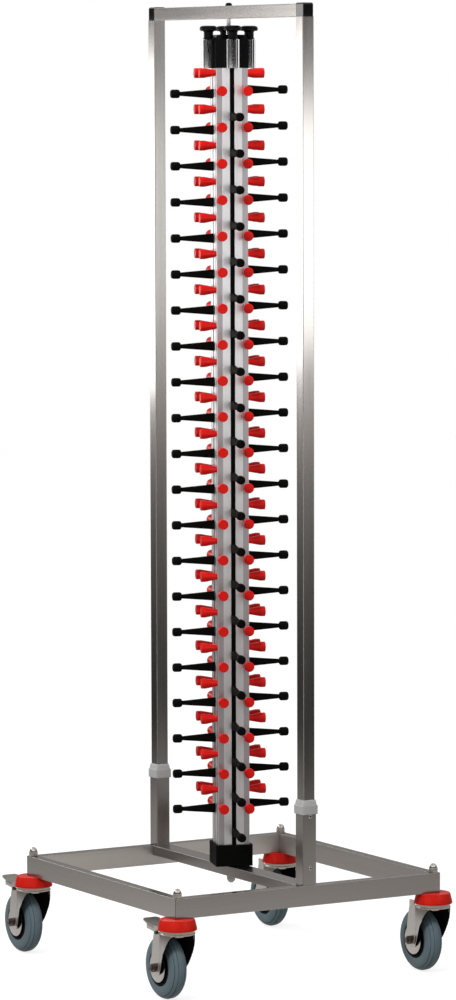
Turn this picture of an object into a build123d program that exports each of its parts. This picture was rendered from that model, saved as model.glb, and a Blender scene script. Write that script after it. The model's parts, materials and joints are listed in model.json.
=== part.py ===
# Mobile plate stand: a square base on four swivel castors carries a push frame and a turning column.
# Each side of the column has fixed pegs in two rows and one rack of arms that a screw sets in height.
# Millimetres. Z is up, the floor is Z = 0 and the origin lies on the column's axis.
# X runs in the plane of the push frame; the front is the side that faces -Y.

import os
from math import atan2, cos, degrees, radians, sin

from build123d import *

os.makedirs("parts", exist_ok=True)

# Clearances
slip_gap = 0.1          # parts that are pushed together by hand
run_gap = 0.05          # round parts that turn in one another, on the radius
slide_gap = 0.25        # flat parts that slide in one another
part_gap = 0.3          # moving parts that pass one another
press_gap = 0.02        # bushes pressed into the blocks

# Castors
wheel_diameter = 125.0
tyre_width = 34.0
rim_diameter = 74.0
rim_wall = 4.0
hub_web = 17.0
hub_boss_wall = 8.0
axle_diameter = 10.0
axle_head_height = 6.5
axle_nut_across = 15.0
axle_nut_height = 9.0
axle_end = 4.0          # of the axle beyond its nut
guard_diameter = 58.0
guard_thickness = 1.5
castor_trail = 44.5
wheel_top_gap = 6.0     # from the tyre to the fork crown
crown_diameter = 69.0
crown_thickness = 4.0
race_diameter = 66.0
race_height = 6.0       # of the lower race, below the bumper
race_rise = 8.0         # of the upper race, inside the bumper
kingpin_diameter = 16.0
kingpin_head = 4.0
kingpin_rim = 5.0
stem_diameter = 10.0
bumper_diameter = 76.0
bumper_top_diameter = 67.0
bumper_height = 21.0
bumper_wall = 3.0
bumper_brim = 3.5
nut_across = 17.0
dome_nut_hex = 9.0
dome_height = 9.0
dome_diameter = 16.0
dome_taper = 24.0       # degrees

# Fork legs, pressed from sheet: the front of each leg flares out
fork_sheet = 3.0
fork_side_gap = 3.5     # from the tyre's side to the fork leg
leg_end = 14.0          # below the axle
leg_rear = 17.5         # behind the axle
leg_front = 19.0        # in front of the axle
leg_fold = 15.5         # in front of the axle, where the flare starts
leg_flare = 9.0
leg_bulge = 7.0         # of the front edge, half way up
crown_front = 24.0      # leg's front edge at the crown, from the stem
crown_rear = 51.0       # leg's rear edge at the crown, from the stem
crown_flare = 2.0
ear_rise = 4.5          # above the crown

# Brake pedals
pedal_pin_diameter = 6.0
pedal_pin_back = 38.5   # from the stem
pedal_pin_end = 1.5     # beyond the fork legs
pedal_width = 37.0
pedal_sheet = 2.0
pedal_bend = 88.0       # from the stem to the upturned toe
pedal_tip = 107.0       # from the stem
pedal_rise = 4.0        # from the root to the toe
toe_rise = 5.7
toe_round = 8.0
flange_depth = 11.5
pedal_press = 12.0      # degrees from raised to braked
shoe_width = 26.0
shoe_length = 8.0
shoe_back = 6.5         # behind the pin

# Base of rectangular tube
base_length = 606.0     # along X
base_width = 600.0      # along Y
rail_height = 40.0
rail_width = 20.0
rail_wall = 1.5
tube_corner = 2.5

# Push frame of square tube
upright_size = 25.0
upright_wall = 1.5
stub_wall = 2.0
stub_play = 0.5
stub_height = 150.0
collar_wall = 1.2
collar_lip = 1.3
collar_height = 28.0
collar_tier = 17.4
collar_skirt = 11.0
spigot_length = 30.0
connector_round = 2.0
screw_diameter = 4.0
screw_grip = 2.0        # beyond the last wall
screw_head_diameter = 7.0
screw_head_height = 2.0
screw_head_taper = 20.0 # degrees
screw_low = 33.6        # first screw above the rail
screw_high = 15.0       # second screw below the top of the stub

# Turning column
column_turn = -19.2     # degrees, as it stands
column_size = 65.0
strip_recess = 1.0      # outer strips lie behind the inner ones
slot_mouth = 9.0
slot_lip = 3.5
slot_width = 18.0
slot_depth = 15.5
cavity_inset = 12.0
cavity_wall = 4.0
spindle_play = 2.0      # between the spindle and the extrusion
foot_size = 74.0
foot_height = 39.5
foot_rim = 3.0          # stands up round the extrusion
top_block_height = 65.0
top_chamfer = 9.0
top_chamfer_in = 5.0
plug_length = 20.0
washer_thickness = 1.0
washer_diameter = 40.0
spindle_diameter = 10.0
spindle_head_diameter = 18.0
spindle_head_height = 9.0
spindle_head_rim = 3.2
spindle_head_flat = 10.8
bush_diameter = 16.0
bush_length = 25.0
cap_nut_diameter = 13.0
cap_nut_height = 6.3
cap_nut_round = 4.4

# Stations for the plates
station_count = 21
station_pitch = 70.7
octagon_swell = 1.035   # corners of an eight-sided piece over its round size
peg_top_margin = 9.5
peg_root_diameter = 11.0
peg_head_diameter = 20.0
peg_head_length = 10.0
peg_length = 33.0
arm_drop = {"front": 40.5, "right": 50.3, "back": 32.5, "left": 42.0}
arm_drop_most = 62.0
arm_height = 19.0
arm_tip_height = 8.0
arm_length = 67.2
arm_chamfer = 2.2
cap_diameter = 17.4
cap_length = 18.0
cap_chamfer = 3.0
cap_taper = 30.0        # degrees
bar_end = 14.0          # rack bar beyond its last arm
bar_depth = 5.7
bar_set_back = 1.0
foot_clearance = 2.5

# Height adjusters
sleeve_diameter = 27.0
sleeve_wall = 1.5
sleeve_height = 56.0
sleeve_lid = 4.0
sleeve_out = 8.0        # the adjuster's axis, beyond the column's face
lug_height = 10.0
lug_clearance = 1.0     # above the extrusion, at the lowest setting
stud_diameter = 10.0
stud_clearance = 2.0
knob_diameter = 35.0
knob_disc = 10.5
knob_neck_diameter = 18.6
knob_neck = 16.0
knob_chamfer = 2.7
bar_clearance = 13.5    # from the knobs to the push frame's bar

# Heights that follow
axle_z = wheel_diameter / 2
crown_z = wheel_diameter + wheel_top_gap
crown_top = crown_z + crown_thickness
bumper_z = crown_top + race_height
rail_z = bumper_z + bumper_height
rail_top = rail_z + rail_height
foot_z = rail_top + washer_thickness
column_z = foot_z + foot_height
rack_span = (station_count - 1) * station_pitch
column_length = peg_top_margin + station_pitch / 2 + rack_span + arm_drop_most + bar_end + foot_clearance
column_top = column_z + column_length
block_top = column_top + top_block_height
sleeve_top = column_top + sleeve_height
knob_z = sleeve_top + slide_gap
knob_top = knob_z + knob_neck + knob_disc
bar_z = knob_top + bar_clearance
frame_top = bar_z + upright_size

# Plan sizes that follow
castor_x = base_length / 2 - rail_width / 2
castor_y = base_width / 2 - rail_width / 2
stub_size = upright_size + 2 * (stub_wall + stub_play)
post_x = base_length / 2 - stub_size / 2
strip_face = column_size / 2 - strip_recess
peg_root_r = peg_root_diameter / 2 * octagon_swell
peg_head_r = peg_head_diameter / 2 * octagon_swell
peg_offset = strip_face - peg_root_r - slip_gap
strip_edge = peg_offset - peg_root_r - slip_gap
slot_floor = column_size / 2 - slot_depth
bar_face = column_size / 2 - bar_set_back
adjuster_r = column_size / 2 + sleeve_out
leg_inside = tyre_width / 2 + fork_side_gap
leg_outside = leg_inside + fork_sheet

corners = {"front_left": (-1, -1), "front_right": (1, -1), "back_left": (-1, 1), "back_right": (1, 1)}
rails = {"right": (0, base_length, base_width), "back": (90, base_width, base_length),
         "left": (180, base_length, base_width), "front": (270, base_width, base_length)}
sides = {"right": 0, "back": 90, "left": 180, "front": 270}


def keep(builder, name):
    builder.part.label = name
    export_step(builder.part, f"parts/{name}.step")


def tube(width, height, wall):
    RectangleRounded(width, height, tube_corner)
    RectangleRounded(width - 2 * wall, height - 2 * wall, max(tube_corner - wall, 0.4), mode=Mode.SUBTRACT)


def heading(angle):
    return Vector(cos(radians(angle)), sin(radians(angle)), 0)


def level(side, z):
    # Plan of one side of the column: local x points out of the side.
    return Plane(origin=(0, 0, z), x_dir=heading(column_turn + sides[side]), z_dir=(0, 0, 1))


def face(side, out):
    # Elevation of one side: local x runs along the side, local y is up.
    normal = heading(column_turn + sides[side])
    return Plane(origin=normal * out, x_dir=(-normal.Y, normal.X, 0), z_dir=normal)


def profile(side):
    # Upright plane through the axis: local x points out of the side, local y is up.
    normal = heading(column_turn + sides[side])
    return Plane(origin=(0, 0, 0), x_dir=normal, z_dir=(normal.Y, -normal.X, 0))


def castor_side(corner, offset=0.0):
    # Upright plane through a castor's stem: local x is X, local y is up.
    sx, sy = corners[corner]
    return Plane(origin=(sx * castor_x, sy * castor_y + offset, 0), x_dir=(1, 0, 0), z_dir=(0, -1, 0))


def castor_plan(corner, z):
    sx, sy = corners[corner]
    return Plane(origin=(sx * castor_x, sy * castor_y, z))


def first_peg(side):
    lower = station_pitch / 2 if side in ("right", "left") else 0.0
    return column_top - peg_top_margin - lower


def stations(start):
    return [start - index * station_pitch for index in range(station_count)]


# Base rails, mitred at the corners
for name, (angle, across, length) in rails.items():
    normal = heading(angle)
    along = heading(angle + 90)
    outer = normal * (across / 2)
    start = outer - normal * (rail_width / 2) - along * (length / 2) + Vector(0, 0, rail_z + rail_height / 2)
    with BuildPart() as rail:
        with BuildSketch(Plane(origin=start, x_dir=-normal, z_dir=along)):
            tube(rail_width, rail_height, rail_wall)
        extrude(amount=length)
        for end in (-1, 1):
            mitre = Plane(origin=outer + along * (end * length / 2), z_dir=normal - along * end)
            split(bisect_by=mitre, keep=Keep.TOP)
        with Locations(*[(sx * castor_x, sy * castor_y, rail_top) for sx, sy in corners.values()]):
            Hole(radius=stem_diameter / 2 + slip_gap, depth=rail_height)
    keep(rail, f"{name}_rail")

# Cross rail, the same tube laid flat between the side rails
cross_length = base_length - 2 * rail_width
with BuildPart() as cross_rail:
    with BuildSketch(Plane(origin=(-cross_length / 2, 0, rail_top - rail_width / 2),
                           x_dir=(0, 1, 0), z_dir=(1, 0, 0))):
        tube(rail_height, rail_width, rail_wall)
    extrude(amount=cross_length)
    with Locations((0, 0, rail_top)):
        Hole(radius=spindle_diameter / 2 + slip_gap, depth=rail_width)
keep(cross_rail, "cross_rail")

# Push frame: stub posts, collars, uprights, bar and corner connectors
stub_top = rail_top + stub_height
screw_heights = (rail_top + screw_low, stub_top - screw_high)
upright_z = rail_top + screw_low / 2

for name, side in (("left", -1), ("right", 1)):
    post_face = side * (post_x + stub_size / 2)
    screw_planes = [Plane(origin=(post_face, 0, z), z_dir=(side, 0, 0)) for z in screw_heights]

    with BuildPart() as stub:
        with BuildSketch(Plane(origin=(side * post_x, 0, rail_top))):
            tube(stub_size, stub_size, stub_wall)
        extrude(amount=stub_height)
        with Locations(*screw_planes):
            Hole(radius=screw_diameter / 2 + slip_gap, depth=stub_wall + stub_play)
    keep(stub, f"{name}_stub_post")

    with BuildPart() as upright:
        with BuildSketch(Plane(origin=(side * post_x, 0, upright_z))):
            tube(upright_size, upright_size, upright_wall)
        extrude(amount=bar_z - upright_z)
        with Locations(*screw_planes):
            Hole(radius=screw_diameter / 2 + slip_gap, depth=stub_size / 2)
    keep(upright, f"{name}_upright")

collar_z = stub_top - collar_skirt
collar_size = stub_size + 2 * collar_wall
lip_size = upright_size + 2 * collar_lip
with BuildPart() as post_collars:
    for side in (-1, 1):
        with BuildSketch(Plane(origin=(side * post_x, 0, collar_z))):
            RectangleRounded(collar_size, collar_size, tube_corner + collar_wall)
        extrude(amount=collar_tier)
        with BuildSketch(Plane(origin=(side * post_x, 0, collar_z + collar_tier))):
            RectangleRounded(collar_size, collar_size, tube_corner + collar_wall)
        with BuildSketch(Plane(origin=(side * post_x, 0, collar_z + collar_height))):
            RectangleRounded(lip_size, lip_size, tube_corner + collar_lip)
        loft()
        with BuildSketch(Plane(origin=(side * post_x, 0, collar_z))):
            RectangleRounded(stub_size + 2 * slip_gap, stub_size + 2 * slip_gap, tube_corner)
        extrude(amount=collar_skirt, mode=Mode.SUBTRACT)
        with BuildSketch(Plane(origin=(side * post_x, 0, collar_z))):
            RectangleRounded(upright_size + 2 * slip_gap, upright_size + 2 * slip_gap, tube_corner)
        extrude(amount=collar_height, mode=Mode.SUBTRACT)
keep(post_collars, "post_collars")

bar_half = post_x - upright_size / 2
with BuildPart() as top_bar:
    with BuildSketch(Plane(origin=(-bar_half, 0, bar_z + upright_size / 2), x_dir=(0, 1, 0), z_dir=(1, 0, 0))):
        tube(upright_size, upright_size, upright_wall)
    extrude(amount=2 * bar_half)
    with Locations((0, 0, frame_top)):
        Hole(radius=spindle_diameter / 2 + slip_gap, depth=upright_size)
keep(top_bar, "top_bar")

spigot_size = upright_size - 2 * upright_wall - 2 * slip_gap
with BuildPart() as corner_connectors:
    for side in (-1, 1):
        with BuildSketch(Plane(origin=(side * post_x, 0, bar_z))):
            RectangleRounded(upright_size, upright_size, tube_corner)
        extrude(amount=upright_size)
    fillet(corner_connectors.faces().sort_by(Axis.Z)[-2:].edges(), radius=connector_round)
    for side in (-1, 1):
        with BuildSketch(Plane(origin=(side * post_x, 0, bar_z))):
            RectangleRounded(spigot_size, spigot_size, tube_corner - upright_wall)
        extrude(amount=-spigot_length)
        with BuildSketch(Plane(origin=(side * bar_half, 0, bar_z + upright_size / 2),
                               x_dir=(0, 1, 0), z_dir=(-side, 0, 0))):
            RectangleRounded(spigot_size, spigot_size, tube_corner - upright_wall)
        extrude(amount=spigot_length)
keep(corner_connectors, "corner_connectors")

screw_reach = stub_wall + stub_play + upright_wall + screw_grip
with BuildPart() as post_screws:
    for side in (-1, 1):
        for z in screw_heights:
            with BuildSketch(Plane(origin=(side * (post_x + stub_size / 2), 0, z), z_dir=(side, 0, 0))):
                Circle(screw_head_diameter / 2)
            extrude(amount=screw_head_height, taper=screw_head_taper)
            with BuildSketch(Plane(origin=(side * (post_x + stub_size / 2), 0, z), z_dir=(side, 0, 0))):
                Circle(screw_diameter / 2)
            extrude(amount=-screw_reach)
keep(post_screws, "post_screws")

# Spindle: a tie rod from the cross rail to the bar, on which the column turns
spindle_z = rail_top - rail_width
spindle_low = spindle_z - spindle_head_height
spindle_high = frame_top + cap_nut_height / 2
spindle_r = spindle_diameter / 2
head_r = spindle_head_diameter / 2
with BuildPart() as spindle:
    with BuildSketch(Plane.XZ):
        with BuildLine():
            Polyline((0, spindle_low), (0, spindle_high), (spindle_r, spindle_high), (spindle_r, spindle_z),
                     (head_r, spindle_z), (head_r, spindle_z - spindle_head_rim),
                     (spindle_head_flat / 2, spindle_low), close=True)
        make_face()
    revolve(axis=Axis.Z)
keep(spindle, "spindle")

cap_nut_r = cap_nut_diameter / 2
with BuildPart() as spindle_cap_nut:
    with BuildSketch(Plane(origin=(0, 0, frame_top))):
        Circle(cap_nut_r)
    extrude(amount=cap_nut_height)
    fillet(spindle_cap_nut.faces().sort_by(Axis.Z)[-1].edges(), radius=cap_nut_round)
    with BuildSketch(Plane(origin=(0, 0, frame_top))):
        Circle(spindle_r + slip_gap)
    extrude(amount=cap_nut_height / 2, mode=Mode.SUBTRACT)
keep(spindle_cap_nut, "spindle_cap_nut")

with BuildPart() as thrust_washer:
    with BuildSketch(Plane.XY.offset(rail_top)):
        Circle(washer_diameter / 2)
        Circle(spindle_r + slip_gap, mode=Mode.SUBTRACT)
    extrude(amount=washer_thickness)
keep(thrust_washer, "thrust_washer")

# Column: extrusion with a T-slot in each side, foot block, top block and bushes
cavity_size = strip_face - cavity_wall - cavity_inset
cavity_at = cavity_inset + cavity_size / 2
with BuildPart() as column_extrusion:
    with BuildSketch(level("right", column_z)):
        Rectangle(2 * strip_face, 2 * strip_face)
        Rectangle(column_size, 2 * strip_edge)
        Rectangle(2 * strip_edge, column_size)
        with PolarLocations(column_size / 2 - slot_lip / 2, 4):
            Rectangle(slot_lip, slot_mouth, mode=Mode.SUBTRACT)
        with PolarLocations((slot_floor + column_size / 2 - slot_lip) / 2, 4):
            Rectangle(slot_depth - slot_lip, slot_width, mode=Mode.SUBTRACT)
        with GridLocations(2 * cavity_at, 2 * cavity_at, 2, 2):
            Rectangle(cavity_size, cavity_size, mode=Mode.SUBTRACT)
        Circle(spindle_r + spindle_play, mode=Mode.SUBTRACT)
    extrude(amount=column_length)
keep(column_extrusion, "column_extrusion")

plug_size = cavity_size - 2 * slip_gap
bush_r = bush_diameter / 2
with BuildPart() as foot_block:
    with BuildSketch(level("right", foot_z)):
        RectangleRounded(foot_size, foot_size, tube_corner)
    extrude(amount=foot_height + foot_rim)
    with BuildSketch(level("right", column_z)):
        Rectangle(column_size + 2 * slip_gap, column_size + 2 * slip_gap)
    extrude(amount=foot_rim, mode=Mode.SUBTRACT)
    with BuildSketch(level("right", column_z)):
        with GridLocations(2 * cavity_at, 2 * cavity_at, 2, 2):
            Rectangle(plug_size, plug_size)
    extrude(amount=plug_length)
    with BuildSketch(level("right", foot_z)):
        Circle(bush_r + press_gap)
    extrude(amount=foot_height, mode=Mode.SUBTRACT)
keep(foot_block, "foot_block")

with BuildPart() as top_block:
    with BuildSketch(level("right", column_top)):
        Rectangle(column_size, column_size)
    extrude(amount=top_block_height)
    chamfer(top_block.faces().sort_by(Axis.Z)[-1].edges(), length=top_chamfer_in, length2=top_chamfer,
            reference=top_block.faces().sort_by(Axis.Z)[-1])
    with BuildSketch(level("right", column_top)):
        with PolarLocations(adjuster_r, 4):
            Circle(sleeve_diameter / 2 + slip_gap)
        with PolarLocations((bar_face - bar_depth - slide_gap + adjuster_r) / 2, 4):
            Rectangle(adjuster_r - bar_face + bar_depth + 4 * slide_gap + 2 * slot_lip, slot_mouth)
        Circle(bush_r + press_gap)
    extrude(amount=top_block_height, mode=Mode.SUBTRACT)
    with BuildSketch(level("right", column_top)):
        with GridLocations(2 * cavity_at, 2 * cavity_at, 2, 2):
            Rectangle(plug_size, plug_size)
    extrude(amount=-plug_length)
keep(top_block, "top_block")

with BuildPart() as spindle_bushes:
    for z in (foot_z, block_top - bush_length):
        with BuildSketch(Plane.XY.offset(z)):
            Circle(bush_r)
            Circle(spindle_r + run_gap, mode=Mode.SUBTRACT)
        extrude(amount=bush_length)
keep(spindle_bushes, "spindle_bushes")

# Pegs, two for each station on every side: a tapered stalk and a straight head
peg_stalk = peg_length - peg_head_length
peg_taper = degrees(atan2((peg_head_r - peg_root_r) * cos(radians(22.5)), peg_stalk))
with BuildPart() as plate_pegs:
    for side in sides:
        spots = [(along, z) for along in (-peg_offset, peg_offset) for z in stations(first_peg(side))]
        with BuildSketch(face(side, strip_face)):
            with Locations(*spots):
                RegularPolygon(peg_root_r, 8, rotation=22.5)
        extrude(amount=peg_stalk, taper=-peg_taper)
        with BuildSketch(face(side, strip_face + peg_stalk)):
            with Locations(*spots):
                RegularPolygon(peg_head_r, 8, rotation=22.5)
        extrude(amount=peg_head_length)
keep(plate_pegs, "plate_pegs")

# Sleeves that carry the adjusters, let into the top block
sleeve_r = sleeve_diameter / 2
stud_r = stud_diameter / 2
slit_width = slot_mouth
with BuildPart() as adjuster_sleeves:
    for side in sides:
        with BuildSketch(level(side, column_top)):
            with Locations((adjuster_r, 0)):
                Circle(sleeve_r)
                Circle(sleeve_r - sleeve_wall, mode=Mode.SUBTRACT)
            with Locations((adjuster_r - sleeve_r, 0)):
                Rectangle(sleeve_r, slit_width, mode=Mode.SUBTRACT)
        extrude(amount=sleeve_height - sleeve_lid)
        with BuildSketch(level(side, sleeve_top - sleeve_lid)):
            with Locations((adjuster_r, 0)):
                Circle(sleeve_r)
                Circle(stud_r + run_gap, mode=Mode.SUBTRACT)
        extrude(amount=sleeve_lid)
keep(adjuster_sleeves, "adjuster_sleeves")

# Racks: a bar in each slot, its arms and the caps on them
bar_width = slot_width - 2 * slide_gap
blade_width = slot_mouth - 2 * slide_gap
neck_inside = column_size / 2 - slot_lip - slide_gap
lug_r = sleeve_r - sleeve_wall - part_gap
arm_z0 = bar_face + arm_length
cap_r = cap_diameter / 2 * octagon_swell
for side in sides:
    arm_heights = stations(first_peg(side) - arm_drop[side])
    bar_low = arm_heights[-1] - bar_end
    bar_high = arm_heights[0] + bar_end
    lug_z = column_top + lug_clearance + arm_drop_most - arm_drop[side]

    with BuildPart() as rack_bar:
        with BuildSketch(level(side, bar_low)):
            with Locations((neck_inside - bar_depth / 2, 0)):
                Rectangle(bar_depth, bar_width)
            with Locations(((bar_face + neck_inside - bar_depth) / 2, 0)):
                Rectangle(bar_face - neck_inside + bar_depth, blade_width)
        extrude(amount=bar_high - bar_low)
        with BuildSketch(level(side, bar_high)):
            with Locations(((bar_face + neck_inside - bar_depth) / 2, 0)):
                Rectangle(bar_face - neck_inside + bar_depth, blade_width)
        extrude(amount=lug_z + lug_height - bar_high)
        with BuildSketch(level(side, lug_z)):
            with Locations((adjuster_r, 0)):
                Circle(lug_r)
            with Locations(((bar_face + adjuster_r) / 2, 0)):
                Rectangle(adjuster_r - bar_face, blade_width)
            with Locations((adjuster_r, 0)):
                Circle(stud_r + run_gap, mode=Mode.SUBTRACT)
        extrude(amount=lug_height)
    keep(rack_bar, f"rack_bar_{side}")

    with BuildPart() as rack_arms:
        with BuildSketch(profile(side)):
            with Locations(*[(bar_face, z) for z in arm_heights]):
                Polygon((0, -arm_height / 2), (arm_length, -arm_tip_height / 2),
                        (arm_length, arm_tip_height / 2), (0, arm_height / 2), align=None)
        extrude(amount=blade_width / 2, both=True)
        chamfer(rack_arms.edges().filter_by(lambda edge: edge.length > arm_length * 0.9), length=arm_chamfer)
    keep(rack_arms, f"rack_arms_{side}")

    with BuildPart() as arm_caps:
        with BuildSketch(face(side, arm_z0)):
            with Locations(*[(0, z) for z in arm_heights]):
                RegularPolygon(cap_r, 8, rotation=22.5)
        extrude(amount=cap_length - cap_chamfer)
        with BuildSketch(face(side, arm_z0 + cap_length - cap_chamfer)):
            with Locations(*[(0, z) for z in arm_heights]):
                RegularPolygon(cap_r, 8, rotation=22.5)
        extrude(amount=cap_chamfer, taper=cap_taper)
    keep(arm_caps, f"arm_caps_{side}")

    # Knob with its stud, which works in the rack's lug
    stud_low = column_top + stud_clearance
    neck_r = knob_neck_diameter / 2
    disc_r = knob_diameter / 2
    disc_z = knob_z + knob_neck
    with BuildPart() as knob:
        with BuildSketch(level(side, stud_low)):
            with Locations((adjuster_r, 0)):
                Circle(stud_r)
        extrude(amount=knob_z - stud_low)
        with BuildSketch(level(side, knob_z)):
            with Locations((adjuster_r, 0)):
                Circle(neck_r)
        extrude(amount=knob_neck)
        with BuildSketch(level(side, disc_z)):
            with Locations((adjuster_r, 0)):
                Circle(disc_r)
        extrude(amount=knob_disc)
        rim = knob.edges().filter_by(GeomType.CIRCLE).filter_by(lambda edge: abs(edge.radius - disc_r) < 0.01)
        chamfer(rim, length=knob_chamfer)
    keep(knob, f"adjuster_knob_{side}")

# Castor hardware fixed to the base: dome nuts, stems and bumpers
kingpin_r = kingpin_diameter / 2
bumper_r = bumper_diameter / 2
bumper_top_r = bumper_top_diameter / 2
race_top = bumper_z + race_rise
inner_race_r = bumper_top_r - 2 * bumper_wall
nut_socket = dome_nut_hex + dome_height / 4
with BuildPart() as castor_nuts:
    for corner in corners:
        with BuildSketch(castor_plan(corner, rail_top)):
            RegularPolygon(nut_across / 2, 6, major_radius=False)
        extrude(amount=dome_nut_hex)
        with BuildSketch(castor_plan(corner, rail_top + dome_nut_hex)):
            Circle(dome_diameter / 2)
        extrude(amount=dome_height, taper=dome_taper)
        with BuildSketch(castor_plan(corner, rail_top)):
            Circle(stem_diameter / 2 + slip_gap)
        extrude(amount=nut_socket, mode=Mode.SUBTRACT)
keep(castor_nuts, "castor_nuts")

with BuildPart() as castor_stems:
    for corner in corners:
        with BuildSketch(castor_plan(corner, crown_z - kingpin_head)):
            Circle(kingpin_r + kingpin_rim)
        extrude(amount=kingpin_head - slide_gap)
        with BuildSketch(castor_plan(corner, crown_z - slide_gap)):
            Circle(kingpin_r)
        extrude(amount=race_top - crown_z + 2 * slide_gap)
        with BuildSketch(castor_plan(corner, race_top + slide_gap)):
            Circle(inner_race_r)
        extrude(amount=rail_z - bumper_wall - race_top - slide_gap)
        with BuildSketch(castor_plan(corner, rail_z - bumper_wall)):
            Circle(stem_diameter / 2)
        extrude(amount=bumper_wall + rail_height + dome_nut_hex)
keep(castor_stems, "castor_stems")

with BuildPart() as castor_bumpers:
    for corner in corners:
        with BuildSketch(castor_side(corner)):
            with BuildLine():
                Polyline((stem_diameter / 2 + slip_gap, rail_z), (bumper_top_r, rail_z),
                         (bumper_r, bumper_z + bumper_brim), (bumper_r, bumper_z),
                         (bumper_r - bumper_wall, bumper_z), (bumper_top_r - bumper_wall, rail_z - bumper_wall),
                         (stem_diameter / 2 + slip_gap, rail_z - bumper_wall), close=True)
            make_face()
        sx, sy = corners[corner]
        revolve(axis=Axis((sx * castor_x, sy * castor_y, 0), (0, 0, 1)))
keep(castor_bumpers, "castor_bumpers")

# Castors: fork, axle with its guards, hub, tyre, and a pedal on the front two
pin_x = -pedal_pin_back
pin_z = crown_z + pedal_pin_diameter / 6
pin_r = pedal_pin_diameter / 2
ear_top = crown_top + ear_rise
guard_r = guard_diameter / 2
axle_r = axle_diameter / 2
rim_r = rim_diameter / 2
hub_half = leg_inside - guard_thickness - part_gap
tread_r = wheel_diameter / 2 - tyre_width / 2

# Leg sections from the end up: height, rear edge, fold, front edge, flare of the front edge
axle_x = -castor_trail
fold_x = axle_x + leg_fold
leg_middle = (axle_z + crown_z) / 2
middle_front = (axle_x + leg_front + crown_front) / 2 + leg_bulge
crown_section = (-crown_rear, fold_x, crown_front, crown_flare)
leg_sections = (
    (axle_z - leg_end, axle_x - leg_rear / 2, axle_x, axle_x + leg_front / 2, leg_flare / 12),
    (axle_z, axle_x - leg_rear, axle_x + leg_fold * 0.8, axle_x + leg_front, leg_flare / 6),
    (leg_middle, axle_x - leg_rear * 0.8, fold_x, middle_front, leg_flare),
    (crown_z, *crown_section),
    (crown_top, *crown_section),
)

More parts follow.
